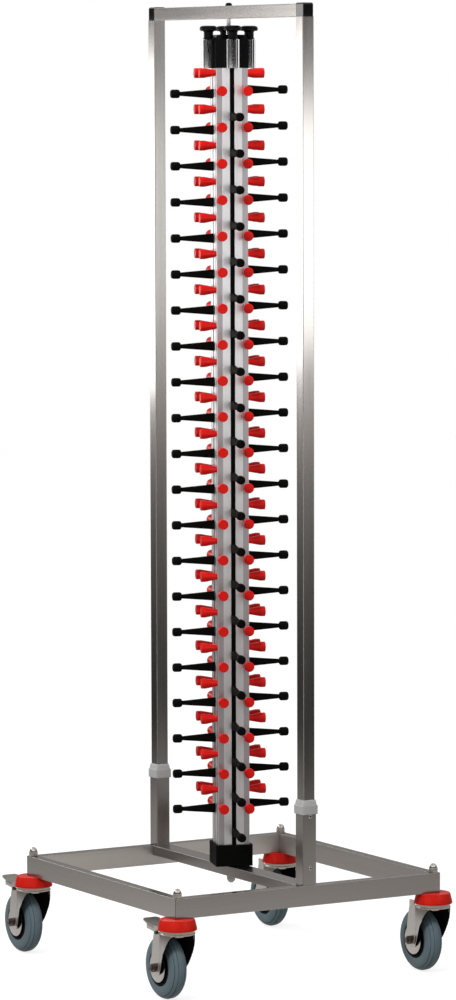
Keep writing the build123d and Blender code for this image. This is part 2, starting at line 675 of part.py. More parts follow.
for corner in corners:
    sx, sy = corners[corner]
    axle_axis = Axis((sx * castor_x + axle_x, sy * castor_y, axle_z), (0, 1, 0))
    wheel_section = Plane(origin=axle_axis.position, x_dir=(0, 1, 0), z_dir=(-1, 0, 0))

    with BuildPart() as fork:
        for hand in (-1, 1):
            for z, rear, fold, front, flare in leg_sections:
                with BuildSketch(castor_plan(corner, z)):
                    with BuildLine():
                        Polyline((rear, hand * leg_inside), (fold, hand * leg_inside),
                                 (front, hand * (leg_inside + flare)), (front, hand * (leg_outside + flare)),
                                 (fold, hand * leg_outside), (rear, hand * leg_outside), close=True)
                    make_face()
            loft(ruled=True)
            with BuildSketch(castor_plan(corner, crown_top)):
                with Locations(((fold_x - crown_rear) / 2, hand * (leg_inside + leg_outside) / 2)):
                    Rectangle(crown_rear + fold_x, fork_sheet)
            extrude(amount=ear_rise)
        for z, diameter, height in ((crown_z, crown_diameter, crown_thickness),
                                    (crown_top, race_diameter, race_height - part_gap),
                                    (crown_top, 2 * inner_race_r, race_height + race_rise)):
            with BuildSketch(castor_plan(corner, z)):
                Circle(diameter / 2)
            extrude(amount=height)
        with BuildSketch(castor_side(corner, leg_outside)):
            with Locations((axle_x, axle_z)):
                Circle(axle_r + slip_gap)
            if sy < 0:
                with Locations((pin_x, pin_z)):
                    Circle(pin_r + run_gap)
        extrude(amount=2 * leg_outside, mode=Mode.SUBTRACT)
        with BuildSketch(castor_plan(corner, crown_z)):
            Circle(kingpin_r + run_gap)
        extrude(amount=race_top - crown_z, mode=Mode.SUBTRACT)
    keep(fork, f"fork_{corner}")

    with BuildPart() as axle:
        with BuildSketch(castor_side(corner, leg_outside + axle_head_height)):
            with Locations((axle_x, axle_z)):
                RegularPolygon(axle_nut_across / 2, 6, major_radius=False)
        extrude(amount=axle_head_height)
        with BuildSketch(castor_side(corner, leg_outside)):
            with Locations((axle_x, axle_z)):
                Circle(axle_r)
        extrude(amount=2 * leg_outside + axle_nut_height + axle_end)
        with BuildSketch(castor_side(corner, -leg_outside)):
            with Locations((axle_x, axle_z)):
                RegularPolygon(axle_nut_across / 2, 6, major_radius=False)
                Circle(axle_r + slip_gap, mode=Mode.SUBTRACT)
        extrude(amount=axle_nut_height)
        for offset in (leg_inside, -leg_inside + guard_thickness):
            with BuildSketch(castor_side(corner, offset)):
                with Locations((axle_x, axle_z)):
                    Circle(guard_r)
                    Circle(axle_r + slip_gap, mode=Mode.SUBTRACT)
            extrude(amount=guard_thickness)
    keep(axle, f"axle_{corner}")

    bore_r = axle_r + run_gap
    boss_r = axle_r + hub_boss_wall
    rim_half = tyre_width / 2
    with BuildPart() as hub:
        with BuildSketch(wheel_section):
            with BuildLine():
                Polyline((-hub_half, -bore_r), (-hub_half, -boss_r), (-hub_web / 2, -boss_r - rim_wall / 2),
                         (-hub_web / 2, -rim_r + 2 * rim_wall), (-rim_half, -rim_r + rim_wall),
                         (-rim_half, -rim_r + slip_gap), (rim_half, -rim_r + slip_gap),
                         (rim_half, -rim_r + rim_wall), (hub_web / 2, -rim_r + 2 * rim_wall),
                         (hub_web / 2, -boss_r - rim_wall / 2), (hub_half, -boss_r),
                         (hub_half, -bore_r), close=True)
            make_face()
        revolve(axis=axle_axis)
    keep(hub, f"hub_{corner}")

    with BuildPart() as tyre:
        with BuildSketch(wheel_section):
            with BuildLine():
                Polyline((-rim_half, -tread_r), (-rim_half, -rim_r), (rim_half, -rim_r), (rim_half, -tread_r))
                ThreePointArc((rim_half, -tread_r), (0, -wheel_diameter / 2), (-rim_half, -tread_r))
            make_face()
        revolve(axis=axle_axis)
    keep(tyre, f"tyre_{corner}")

    if sy < 0:
        root_x = pin_x + pin_r + pedal_sheet
        root_z = ear_top
        bend_z = root_z + pedal_rise
        flange_low = pin_z - pin_r - pedal_sheet
        shoe_x = pin_x - shoe_back - shoe_length
        shoe_low = wheel_diameter + part_gap + (shoe_back + shoe_length) * sin(radians(pedal_press))
        with BuildPart() as pedal:
            with BuildSketch(castor_side(corner, pedal_width / 2)):
                with BuildLine():
                    Polyline((pin_x, root_z), (-pedal_bend, bend_z), (-pedal_tip, bend_z + toe_rise),
                             (-pedal_tip, bend_z + toe_rise - pedal_sheet), (-pedal_bend, bend_z - pedal_sheet),
                             (pin_x, root_z - pedal_sheet), close=True)
                make_face()
            extrude(amount=pedal_width)
            with BuildSketch(castor_plan(corner, crown_z)):
                with Locations((toe_round - (pedal_tip - pin_x) / 2, 0)):
                    RectangleRounded(pedal_tip + pin_x + 2 * toe_round, pedal_width, toe_round)
            extrude(amount=pedal_tip, mode=Mode.INTERSECT)
            for offset in (pedal_width / 2, -pedal_width / 2 + pedal_sheet):
                with BuildSketch(castor_side(corner, offset)):
                    with BuildLine():
                        Polyline((pin_x, root_z), (root_x, pin_z + pin_r), (root_x, flange_low + pedal_sheet),
                                 (pin_x, flange_low), (-pedal_bend + toe_rise, bend_z - flange_depth),
                                 (-pedal_bend, bend_z - flange_depth), (-pedal_bend, bend_z), close=True)
                    make_face()
                extrude(amount=pedal_sheet)
            with BuildSketch(castor_side(corner, shoe_width / 2)):
                with Locations((shoe_x, shoe_low)):
                    Rectangle(shoe_length, root_z - pedal_sheet / 2 - shoe_low, align=Align.MIN)
            extrude(amount=shoe_width)
            with BuildSketch(castor_side(corner, leg_outside + pedal_pin_end)):
                with Locations((pin_x, pin_z)):
                    Circle(pin_r)
            extrude(amount=2 * (leg_outside + pedal_pin_end))
        keep(pedal, f"pedal_{corner}")
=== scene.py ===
import json
import math

import bmesh
import bpy
from mathutils import Matrix, Vector


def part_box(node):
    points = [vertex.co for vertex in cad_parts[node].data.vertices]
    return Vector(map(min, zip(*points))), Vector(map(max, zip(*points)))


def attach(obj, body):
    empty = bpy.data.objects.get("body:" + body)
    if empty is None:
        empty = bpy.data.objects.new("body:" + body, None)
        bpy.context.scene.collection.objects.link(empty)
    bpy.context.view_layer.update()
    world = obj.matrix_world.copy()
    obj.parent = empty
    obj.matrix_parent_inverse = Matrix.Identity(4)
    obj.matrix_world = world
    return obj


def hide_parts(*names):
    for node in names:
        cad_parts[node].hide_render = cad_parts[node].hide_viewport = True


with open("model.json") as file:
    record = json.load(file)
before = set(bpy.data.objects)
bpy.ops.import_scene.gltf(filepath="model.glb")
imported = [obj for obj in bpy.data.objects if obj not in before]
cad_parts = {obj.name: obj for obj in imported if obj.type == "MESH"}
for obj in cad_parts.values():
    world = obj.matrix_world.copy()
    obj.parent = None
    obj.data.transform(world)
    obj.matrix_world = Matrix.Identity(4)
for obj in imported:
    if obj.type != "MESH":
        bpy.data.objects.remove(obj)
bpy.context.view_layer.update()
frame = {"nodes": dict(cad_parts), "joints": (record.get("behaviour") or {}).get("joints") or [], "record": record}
nodes = frame["nodes"]
joints = {joint["name"]: joint for joint in frame["joints"]}
sides = ("right", "back", "left", "front")  # of the column, anticlockwise from above
corners = ("front_left", "front_right", "back_left", "back_right")
tiny = 1e-5  # two places nearer than this are the same
print("frame loaded:", len(nodes), "nodes")


# small helpers for meshes

def addPiece(name, bm, material, body, stands=(), sharp=28, more=()):
    bmesh.ops.recalc_face_normals(bm, faces=bm.faces)
    mesh = bpy.data.meshes.new(name)
    bm.to_mesh(mesh)
    bm.free()
    mesh.polygons.foreach_set("use_smooth", [True] * len(mesh.polygons))
    mesh.set_sharp_from_angle(angle=math.radians(sharp))
    for finish in (material, *more):
        mesh.materials.append(finish)
    piece = bpy.data.objects.new(name, mesh)
    bpy.context.scene.collection.objects.link(piece)
    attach(piece, body)
    if stands:
        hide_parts(*stands)
    return piece


def vertsOf(geometry):
    return [item for item in geometry if isinstance(item, bmesh.types.BMVert)]


def edgesOf(verts):  # each edge once
    return list(dict.fromkeys(edge for vert in verts for edge in vert.link_edges))


def makeBox(bm, low, high):
    low, high = Vector(low), Vector(high)
    made = bmesh.ops.create_cube(bm, size=1)["verts"]
    bmesh.ops.scale(bm, vec=high - low, verts=made)
    bmesh.ops.translate(bm, vec=(low + high) / 2, verts=made)
    return made


def roundEdges(bm, edges, offset, segments, material=-1):
    bmesh.ops.bevel(bm, geom=edges, offset=offset, affect="EDGES", segments=segments, profile=0.5,
                    material=material)


def lathe(bm, profile, steps, place=Matrix.Identity(4)):  # profile of (radius, height), turned about Z
    verts = [bm.verts.new((radius, 0, height)) for radius, height in profile]
    edges = [bm.edges.new(pair) for pair in zip(verts, verts[1:])]
    turned = bmesh.ops.spin(bm, geom=verts + edges, cent=(0, 0, 0), axis=(0, 0, 1),
                            angle=math.tau, steps=steps, use_merge=True)
    reached = {}  # every vertex of this turning
    front = vertsOf(turned["geom_last"]) + verts
    while front:
        vert = front.pop()
        if vert.is_valid and vert not in reached:
            reached[vert] = True
            front.extend(edge.other_vert(vert) for edge in vert.link_edges)
    bmesh.ops.transform(bm, matrix=place, verts=list(reached))
    bmesh.ops.remove_doubles(bm, verts=list(reached), dist=1e-6)


def domeProfile(radius, base, rise):  # a quarter of an ellipse, from its rim to its tip
    turns = [math.radians(angle) for angle in range(0, 91, 15)]
    return [(radius * math.cos(turn), base + rise * math.sin(turn)) for turn in turns]


def template(build):  # a mesh made once and placed many times
    bm = bmesh.new()
    build(bm)
    bmesh.ops.recalc_face_normals(bm, faces=bm.faces)
    mesh = bpy.data.meshes.new("template")
    bm.to_mesh(mesh)
    bm.free()
    return mesh


def stamp(bm, mesh, place):
    start = len(bm.verts)
    bm.from_mesh(mesh)
    bm.verts.ensure_lookup_table()
    bmesh.ops.transform(bm, matrix=place, verts=bm.verts[start:])


def roundedBox(bm, low, high, edge, segments):
    roundEdges(bm, edgesOf(makeBox(bm, low, high)), edge, segments)


# finishes

def newMaterial(name, colour, metallic, roughness, specular=0.5):
    material = bpy.data.materials.new(name)
    material.use_nodes = True
    shader = material.node_tree.nodes["Principled BSDF"]
    shader.inputs["Base Color"].default_value = (*colour, 1)
    shader.inputs["Metallic"].default_value = metallic
    shader.inputs["Roughness"].default_value = roughness
    shader.inputs["Specular IOR Level"].default_value = specular
    return material, shader


noiseFit = {"detail": 5, "from": 0.3, "to": 0.7, "depth": 0.0002}


def grained(name, colour, metallic, roughness, specular, scale, tones, roughnesses, bump, stretch=(1, 1, 1)):
    # stretched noise drives the tone, the roughness and a fine relief
    material, shader = newMaterial(name, colour, metallic, roughness, specular)
    make, join = material.node_tree.nodes.new, material.node_tree.links.new
    coords = make("ShaderNodeTexCoord")
    mapping = make("ShaderNodeMapping")
    mapping.inputs["Scale"].default_value = stretch
    noise = make("ShaderNodeTexNoise")
    noise.inputs["Scale"].default_value = scale
    noise.inputs["Detail"].default_value = noiseFit["detail"]
    join(coords.outputs["Object"], mapping.inputs["Vector"])
    join(mapping.outputs["Vector"], noise.inputs["Vector"])
    ramp = make("ShaderNodeValToRGB")
    for index, key in enumerate(("from", "to")):
        ramp.color_ramp.elements[index].position = noiseFit[key]
        ramp.color_ramp.elements[index].color = (*tones[index], 1)
    join(noise.outputs["Fac"], ramp.inputs["Fac"])
    join(ramp.outputs["Color"], shader.inputs["Base Color"])
    spread = make("ShaderNodeMapRange")
    spread.inputs["To Min"].default_value, spread.inputs["To Max"].default_value = roughnesses
    join(noise.outputs["Fac"], spread.inputs["Value"])
    join(spread.outputs["Result"], shader.inputs["Roughness"])
    relief = make("ShaderNodeBump")
    relief.inputs["Strength"].default_value = bump
    relief.inputs["Distance"].default_value = noiseFit["depth"]
    join(noise.outputs["Fac"], relief.inputs["Height"])
    join(relief.outputs["Normal"], shader.inputs["Normal"])
    return material


def steelAlong(name, stretch, roughnesses, tone=0.30):  # satin tube, polished along its length
    steel = Vector((1, 0.95, 0.905)) * tone
    tones = (steel * 0.96, steel * 1.05)
    return grained(name, steel, 1.0, roughnesses[1], 0.5, 70, tones, roughnesses, 0.025, stretch)


steelBar = steelAlong("satinSteelBar", (0.04, 1, 1), (0.14, 0.21))
steelPost = steelAlong("satinSteelPost", (1, 1, 0.04), (0.14, 0.21))
railAlongX = steelAlong("satinRailX", (0.04, 1, 1), (0.15, 0.22))
railAlongY = steelAlong("satinRailY", (1, 0.04, 1), (0.15, 0.22))
crossSteel = steelAlong("satinCross", (0.04, 1, 1), (0.22, 0.30), 0.25)
edgeSteel = steelAlong("satinEdge", (1, 1, 1), (0.46, 0.56))
# painted light: the rails' inner faces take lighter copies of the steel, much lighter on the side rails
innerLitAlongX = steelAlong("satinInnerLitX", (0.04, 1, 1), (0.42, 0.52), 0.34)
innerLitAlongY = steelAlong("satinInnerLitY", (1, 0.04, 1), (0.42, 0.52), 0.5)

# colour, metallic, roughness and specular, then the grain's scale, tones, roughnesses, relief and stretch
columnBright = grained("drawnAluminium", (0.85, 0.835, 0.85), 1.0, 0.36, 0.5, 160,
                       ((0.82, 0.805, 0.825), (0.88, 0.865, 0.88)), (0.32, 0.4), 0.04, (1, 1, 0.01))
# painted shade: a darker copy of the aluminium for the sunk outer strips of the column
columnStripShade = grained("aluminiumStripShade", (0.46, 0.44, 0.455), 1.0, 0.42, 0.5, 160,
                     ((0.44, 0.42, 0.435), (0.485, 0.465, 0.48)), (0.38, 0.46), 0.04, (1, 1, 0.01))
# painted shade: a near-black finish for the inside of the column's slots
slotShade = grained("slotPaintedShade", (0.02, 0.02, 0.02), 0.0, 0.7, 0.1, 160,
                    ((0.018, 0.018, 0.018), (0.022, 0.022, 0.022)), (0.66, 0.76), 0.02, (1, 1, 0.01))
blackMatt = grained("blackMoulded", (0.003, 0.003, 0.0028), 0.0, 0.6, 0.03, 900,
                    ((0.0025, 0.0025, 0.0023), (0.004, 0.004, 0.0037)), (0.54, 0.68), 0.12)
blackGloss = grained("blackGlossy", (0.0022, 0.0024, 0.0022), 0.0, 0.2, 0.08, 400,
                     ((0.0018, 0.002, 0.0018), (0.003, 0.0032, 0.003)), (0.16, 0.26), 0.05)
connectorBlack = grained("blackConnector", (0.004, 0.004, 0.004), 0.0, 0.1, 0.5, 300,
                         ((0.0035, 0.0035, 0.0035), (0.005, 0.005, 0.005)), (0.08, 0.14), 0.004)
pegRed = grained("pegRed", (0.74, 0.011, 0.008), 0.0, 0.32, 0.14, 300,
                 ((0.70, 0.010, 0.007), (0.78, 0.012, 0.009)), (0.26, 0.38), 0.05)
bumperRed = grained("bumperRed", (0.58, 0.010, 0.004), 0.0, 0.3, 0.12, 260,
                    ((0.55, 0.009, 0.003), (0.62, 0.012, 0.005)), (0.24, 0.36), 0.05)
collarGrey = grained("collarGrey", (0.43, 0.425, 0.42), 0.0, 0.5, 0.5, 600,
                     ((0.41, 0.405, 0.40), (0.45, 0.445, 0.44)), (0.44, 0.58), 0.08)
weldTint = grained("weldTint", (0.13, 0.11, 0.095), 1.0, 0.4, 0.5, 400,
                   ((0.10, 0.085, 0.07), (0.17, 0.15, 0.13)), (0.3, 0.5), 0.2)
polished = grained("polishedSteel", (0.78, 0.78, 0.80), 1.0, 0.06, 0.5, 200,
                   ((0.74, 0.74, 0.76), (0.82, 0.82, 0.84)), (0.04, 0.08), 0.008, (1, 1, 0.1))
turnedSteel = grained("turnedSteel", (0.46, 0.45, 0.44), 1.0, 0.16, 0.5, 300,
                      ((0.43, 0.42, 0.41), (0.49, 0.48, 0.47)), (0.12, 0.2), 0.03, (1, 1, 0.2))
pedalGrey = grained("pedalGrey", (0.135, 0.13, 0.11), 0.0, 0.45, 0.4, 300,
                    ((0.125, 0.12, 0.10), (0.145, 0.14, 0.12)), (0.4, 0.5), 0.03)
zinc = grained("zincPlate", (0.45, 0.43, 0.415), 1.0, 0.3, 0.5, 120,
               ((0.43, 0.41, 0.395), (0.47, 0.45, 0.435)), (0.26, 0.34), 0.02)
nutSteel = grained("nutSteel", (0.42, 0.385, 0.34), 1.0, 0.44, 0.5, 240,
                   ((0.38, 0.35, 0.305), (0.46, 0.42, 0.375)), (0.38, 0.5), 0.03)
darkSteel = grained("darkSteel", (0.105, 0.085, 0.073), 1.0, 0.36, 0.5, 300,
                    ((0.085, 0.068, 0.058), (0.13, 0.106, 0.092)), (0.3, 0.44), 0.08)
tyreGrey = grained("tyreGrey", (0.120, 0.168, 0.190), 0.0, 0.55, 0.3, 500,
                   ((0.110, 0.156, 0.177), (0.131, 0.181, 0.204)), (0.5, 0.64), 0.1)
wheelBlack = grained("wheelBlack", (0.005, 0.005, 0.006), 0.0, 0.66, 0.05, 500,
                     ((0.004, 0.004, 0.005), (0.007, 0.007, 0.008)), (0.6, 0.74), 0.08)
bushWhite = grained("bushWhite", (0.62, 0.61, 0.58), 0.0, 0.45, 0.5, 400,
                    ((0.58, 0.57, 0.54), (0.66, 0.65, 0.62)), (0.4, 0.5), 0.05)

slotFinish = {
    "column_aluminium": columnBright, "black_plastic": blackMatt, "black_gloss": blackGloss,
    "red_plastic": pegRed, "bumper_red": bumperRed, "grey_plastic": collarGrey,
    "polished_steel": polished, "zinc_steel": zinc, "tyre_grey": tyreGrey, "wheel_black": wheelBlack,
    "bush_white": bushWhite,
}
for part in frame["record"]["subparts"]:
    node = nodes[part["node"]]
    finish = slotFinish.get(part["material_slot"], steelPost)
    if part["node"] == "foot_block":
        finish = blackMatt
    node.data.materials.clear()
    node.data.materials.append(finish)
print("finishes set:", len(bpy.data.materials))


# base: four tubes mitred at the corners, with the seam of the weld, and the flat tube across

rail = {"round": 0.0010, "seam": 0.0008, "crossSeam": 0.0006, "facing": 0.9, "sharp": 4}


def buildTube(bm, low, high, along, edge):  # the rounded long edges take the third finish
    makeBox(bm, low, high)
    half = (high - low)[along] / 2
    long = [item for item in bm.edges if abs((item.verts[0].co - item.verts[1].co)[along]) > half]
    roundEdges(bm, long, edge, 3, 2)


def seamEnds(bm, seam, plain=()):  # a narrow groove round both ends, but not along the plain edges
    rims = dict.fromkeys(item for face in bm.faces if len(face.verts) > 4 for item in face.edges)
    roundEdges(bm, [item for item in rims if item not in plain], seam, 1, 1)


for name in ("front", "back", "left", "right"):
    low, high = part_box(f"{name}_rail")
    along, across = (0, 1) if name in ("front", "back") else (1, 0)
    outer = high[across] if name in ("back", "right") else low[across]
    bm = bmesh.new()
    buildTube(bm, low, high, along, rail["round"])
    middle = (low[along] + high[along]) / 2
    inside = {vert for vert in bm.verts if abs(vert.co[across] - outer) > high[across] - low[across] - tiny}
    for vert in bm.verts:  # both ends cut at 45 degrees, from the outer face inwards
        depth = abs(vert.co[across] - outer)
        vert.co[along] += depth if vert.co[along] < middle else -depth
    seamEnds(bm, rail["seam"], [item for item in bm.edges if inside.issuperset(item.verts)])
    bm.normal_update()
    outwards = 1 if name in ("back", "right") else -1
    for face in bm.faces:  # rougher on the inner side, and lighter there: painted light
        if face.material_index == 0 and face.normal[across] * outwards < -rail["facing"]:
            face.material_index = 3
    outerSteel, innerLitSteel = (railAlongX, innerLitAlongX) if along == 0 else (railAlongY, innerLitAlongY)
    addPiece(f"{name}Rail", bm, outerSteel, "frame", [f"{name}_rail"], sharp=rail["sharp"],
             more=(weldTint, edgeSteel, innerLitSteel))
bm = bmesh.new()
buildTube(bm, *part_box("cross_rail"), 0, rail["round"])
seamEnds(bm, rail["crossSeam"])
addPiece("crossRail", bm, crossSteel, "frame", ["cross_rail"], sharp=rail["sharp"],
         more=(weldTint, edgeSteel))
print("base dressed")


# push frame: moulded collars, screws in the stub posts, uprights and bar, corner connectors and the spindle

collar = {"tiers": ((0, 0.0340), (0.0007, 0.0350), (0.0166, 0.0350), (0.0174, 0.0342), (0.0175, 0.0322),
                    (0.0190, 0.0318), (0.0240, 0.0302), (0.0275, 0.0284), (0.0280, 0.0276)),  # height, width
          "corner": 0.0030, "skirt": 0.011, "socket": 0.0302, "bore": 0.0252, "merge": 4e-4, "sharp": 32}
screw = {"low": 0.0336, "high": 0.015, "head": 0.0040, "height": 0.002, "shank": 0.0019, "reach": 0.0075,
         "socket": 0.0019, "socketDeep": 0.0013, "steps": 20}
spindle = {"rod": 0.005, "head": 0.0085, "seat": 0.009, "headHeight": 0.0176, "rim": 0.008, "steps": 32}


def raiseFace(bm, face, height):  # pull a face up or down and return the moved one
    made = bmesh.ops.extrude_face_region(bm, geom=[face])["geom"]
    bmesh.ops.translate(bm, vec=(0, 0, height), verts=vertsOf(made))
    return next(item for item in made if isinstance(item, bmesh.types.BMFace))


def buildCollar(bm):
    tiers = collar["tiers"]
    square = bmesh.ops.create_grid(bm, x_segments=1, y_segments=1, size=tiers[0][1] / 2)["verts"]
    bmesh.ops.bevel(bm, geom=square, offset=collar["corner"], affect="VERTICES", segments=4, profile=0.5,
                    material=-1)
    bottom = top = bm.faces[:][0]
    for (low, narrow), (high, wide) in zip(tiers, tiers[1:]):
        top = raiseFace(bm, top, high - low)
        bmesh.ops.scale(bm, vec=(wide / narrow, wide / narrow, 1), verts=top.verts)
    bmesh.ops.inset_region(bm, faces=[top], thickness=(tiers[-1][1] - collar["bore"]) / 2)
    well = raiseFace(bm, top, collar["skirt"] - tiers[-1][0])
    bmesh.ops.inset_region(bm, faces=[bottom], thickness=(tiers[0][1] - collar["socket"]) / 2)
    socket = raiseFace(bm, bottom, collar["skirt"])
    bmesh.ops.inset_region(bm, faces=[socket], thickness=(collar["socket"] - collar["bore"]) / 2)
    bmesh.ops.delete(bm, geom=[well, socket], context="FACES_ONLY")
    bmesh.ops.remove_doubles(bm, verts=bm.verts, dist=collar["merge"])


def buildScrew(bm):  # button head with a recess, pointing along Z
    head, height, socket, deep = screw["head"], screw["height"], screw["socket"], screw["socketDeep"]
    lathe(bm, [(0, -screw["reach"]), (screw["shank"], -screw["reach"]), (screw["shank"], 0), (head, 0),
               (head, height * 0.3), (head * 0.88, height * 0.75), (head * 0.66, height), (socket, height),
               (socket - 0.0002, height - deep), (0, height - deep)], screw["steps"])
    # painted shade: the faces of the recess take the dark second finish
    for face in bm.faces:
        if face.calc_center_median().xy.length < socket and face.calc_center_median().z > 0:
            face.material_index = 1


collarMesh, screwMesh = template(buildCollar), template(buildScrew)
collarBm, screwBm = bmesh.new(), bmesh.new()
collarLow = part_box("post_collars")[0].z
for hand, name in ((-1, "left_stub_post"), (1, "right_stub_post")):
    low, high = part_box(name)
    stamp(collarBm, collarMesh, Matrix.Translation(((low.x + high.x) / 2, (low.y + high.y) / 2, collarLow)))
    for height in (low.z + screw["low"], high.z - screw["high"]):
        place = Matrix.Translation((high.x if hand > 0 else low.x, (low.y + high.y) / 2, height))
        stamp(screwBm, screwMesh, place @ Matrix.Rotation(hand * math.pi / 2, 4, "Y"))
addPiece("postCollars", collarBm, collarGrey, "frame", ["post_collars"], sharp=collar["sharp"])
addPiece("postScrews", screwBm, turnedSteel, "frame", ["post_screws"], more=(darkSteel,))

post = {"round": 0.0012}
for name, node, along, finish in (("leftUpright", "left_upright", 2, steelPost),
                                  ("topBar", "top_bar", 0, steelBar),
                                  ("rightUpright", "right_upright", 2, steelPost)):
    bm = bmesh.new()
    buildTube(bm, *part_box(node), along, post["round"])
    addPiece(name, bm, finish, "frame", [node], sharp=rail["sharp"],
             more=(weldTint, edgeSteel))

connector = {"rise": 0.002, "draft": 0.0012, "crown": 0.0035, "edge": 0.0009, "spigot": 0.0105,
             "reach": 0.028, "spigotEdge": 0.001, "rimAngle": 0.7, "sharp": 13}
barLow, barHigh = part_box("top_bar")
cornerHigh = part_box("corner_connectors")[1]


def buildConnector(bm):  # the moulded corner at the right end, with its sides drawn in and its spigots
    low = Vector((barHigh.x, barLow.y, barLow.z))
    high = Vector((cornerHigh.x, barHigh.y, barHigh.z + connector["rise"]))
    middle = (low + high) / 2
    outer = [vert for vert in makeBox(bm, low, high) if vert.co.x > middle.x]
    bmesh.ops.scale(bm, vec=(1, 1 - connector["draft"] / high.y, 1), verts=outer)
    crown = [edge for edge in bm.edges if all(vert.co.z > middle.z for vert in edge.verts)
             and any(vert.co.x > middle.x for vert in edge.verts)]
    roundEdges(bm, crown, connector["crown"], 8)
    rims = [edge for edge in bm.edges if edge.calc_face_angle() > connector["rimAngle"]
            and not all(vert.co.x < low.x + tiny for vert in edge.verts)  # not where a tube meets it
            and not all(vert.co.z < low.z + tiny for vert in edge.verts)]
    roundEdges(bm, rims, connector["edge"], 2)
    half, reach, centre = connector["spigot"], connector["reach"], (barLow.z + barHigh.z) / 2
    for lowEnd, highEnd in (((middle.x - half, -half, low.z - reach), (middle.x + half, half, low.z)),
                            ((low.x - reach, -half, centre - half), (low.x, half, centre + half))):
        roundedBox(bm, lowEnd, highEnd, connector["spigotEdge"], 1)


connectorMesh = template(buildConnector)
bm = bmesh.new()
stamp(bm, connectorMesh, Matrix.Identity(4))
stamp(bm, connectorMesh, Matrix.Scale(-1, 4, (1, 0, 0)))
addPiece("cornerConnectors", bm, connectorBlack, "frame", ["corner_connectors"], sharp=connector["sharp"])

low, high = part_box("spindle")
seat = low.z + spindle["seat"]
brim = seat - spindle["rim"]
deep = spindle["headHeight"] - spindle["rim"]
dome = domeProfile(spindle["head"], brim, -deep)[::-1]
bm = bmesh.new()
lathe(bm, dome + [(spindle["head"], seat), (spindle["rod"], seat), (spindle["rod"], high.z), (0, high.z)],
      spindle["steps"])
for face in bm.faces:  # the head is duller than the rod
    if face.calc_center_median().z < seat + tiny:
        face.material_index = 1
addPiece("spindleRod", bm, polished, "frame", ["spindle"], more=(edgeSteel,))
print("push frame dressed")


# column: the extrusion, pegs, arms, caps, sleeves and knobs

columnLow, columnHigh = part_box("column_extrusion")
station = {"count": 21, "topMargin": 0.0095}
rightLow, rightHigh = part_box("rack_arms_right")
knobAt = {side: Vector(joints[f"knob_{side}_turn"]["pos_m"]) for side in sides}
knobPlace = {side: Matrix.Translation((knobAt[side].x, knobAt[side].y, 0)) for side in sides}
sideAngle = {side: math.atan2(knobAt[side].y, knobAt[side].x) for side in sides}

arm = {"rootHeight": 0.019, "tipHeight": 0.008, "width": 0.0085, "start": 0.0315, "length": 0.0672,
       "edge": 0.0028}
cap = {"radius": 0.0087, "length": 0.018, "round": 0.0035, "steps": 14}
peg = {"root": 0.0055, "head": 0.010, "stalk": 0.023, "length": 0.033, "from": 0.0315, "side": 0.02571,
       "steps": 14}
strip = {"face": 0.0325, "sunkFace": 0.0315, "edge": 0.01992, "mouth": 0.0045, "lip": 0.0035, "slot": 0.009,
         "floor": 0.017, "soft": 0.0003, "corner": 0.0006, "sharp": 20}
pitch = (rightHigh.z - rightLow.z - arm["rootHeight"]) / (station["count"] - 1)


def outward(side, along, height):  # local Z points out of the side, local Y is up
    angle = sideAngle[side]
    normal = Vector((math.cos(angle), math.sin(angle), 0))
    tangent = Vector((-math.sin(angle), math.cos(angle), 0))
    turn = Matrix((tangent, Vector((0, 0, 1)), normal)).transposed().to_4x4()
    return Matrix.Translation(tangent * along + Vector((0, 0, height))) @ turn


def stripSide(end):  # half of one side of the extrusion, from the corner to the slot, as (out, along)
    face, sunkFace, edge, soft = strip["face"], strip["sunkFace"], strip["edge"], strip["soft"]
    lip, mouth = face - strip["lip"], strip["mouth"]
    half = [(sunkFace, sunkFace - strip["corner"]), (sunkFace, edge), (face - soft, edge), (face, edge - soft),
            (face, mouth + soft), (face - soft, mouth), (lip, mouth), (lip, strip["slot"]),
            (strip["floor"], strip["slot"])]
    return [(out, end * along) for out, along in half]


def buildColumn(bm):
    ring = []
    for side in sides:
        turn = Matrix.Rotation(sideAngle[side], 2)
        ring += [turn @ Vector(point) for point in stripSide(-1) + stripSide(1)[::-1]]
    end = bm.faces.new([bm.verts.new((point.x, point.y, columnLow.z)) for point in ring])
    drawn = bmesh.ops.extrude_face_region(bm, geom=[end], use_keep_orig=True)["geom"]
    bmesh.ops.translate(bm, vec=(0, 0, columnHigh.z - columnLow.z), verts=vertsOf(drawn))
    lip = strip["face"] - strip["lip"]
    for wall in bm.faces:  # painted shade: the sunk outer strip of each side takes a darker copy of the aluminium, and the slot is dark
        for side in sides:
            place = Matrix.Rotation(-sideAngle[side], 3, "Z") @ wall.calc_center_median()
            inSlot = strip["floor"] - tiny < place.x < lip + tiny and abs(place.y) < strip["slot"] + tiny
            if abs(place.x - strip["sunkFace"]) < tiny and abs(place.y) > strip["edge"]:
                wall.material_index = 1
            # painted shade: the slot's inside takes the near-black finish
            elif inSlot:
                wall.material_index = 2


bm = bmesh.new()
buildColumn(bm)
addPiece("columnExtrusion", bm, columnBright, "column", ["column_extrusion"], sharp=strip["sharp"],
         more=(columnStripShade, slotShade))


def buildPeg(bm):
    neck, top, head = peg["from"] + peg["stalk"], peg["from"] + peg["length"], peg["head"]
    lathe(bm, [(0, peg["from"]), (peg["root"], peg["from"]), (head - 0.0002, neck - 0.0004), (head, neck),
               (head, top - 0.0008), (head - 0.0008, top), (0, top)], peg["steps"])


pegMesh = template(buildPeg)
bm = bmesh.new()
for side in sides:
    first = columnHigh.z - station["topMargin"] - (pitch / 2 if side in ("right", "left") else 0)
    for index in range(station["count"]):
        for along in (-peg["side"], peg["side"]):
            stamp(bm, pegMesh, outward(side, along, first - index * pitch))
addPiece("platePegs", bm, pegRed, "column", ["plate_pegs"])


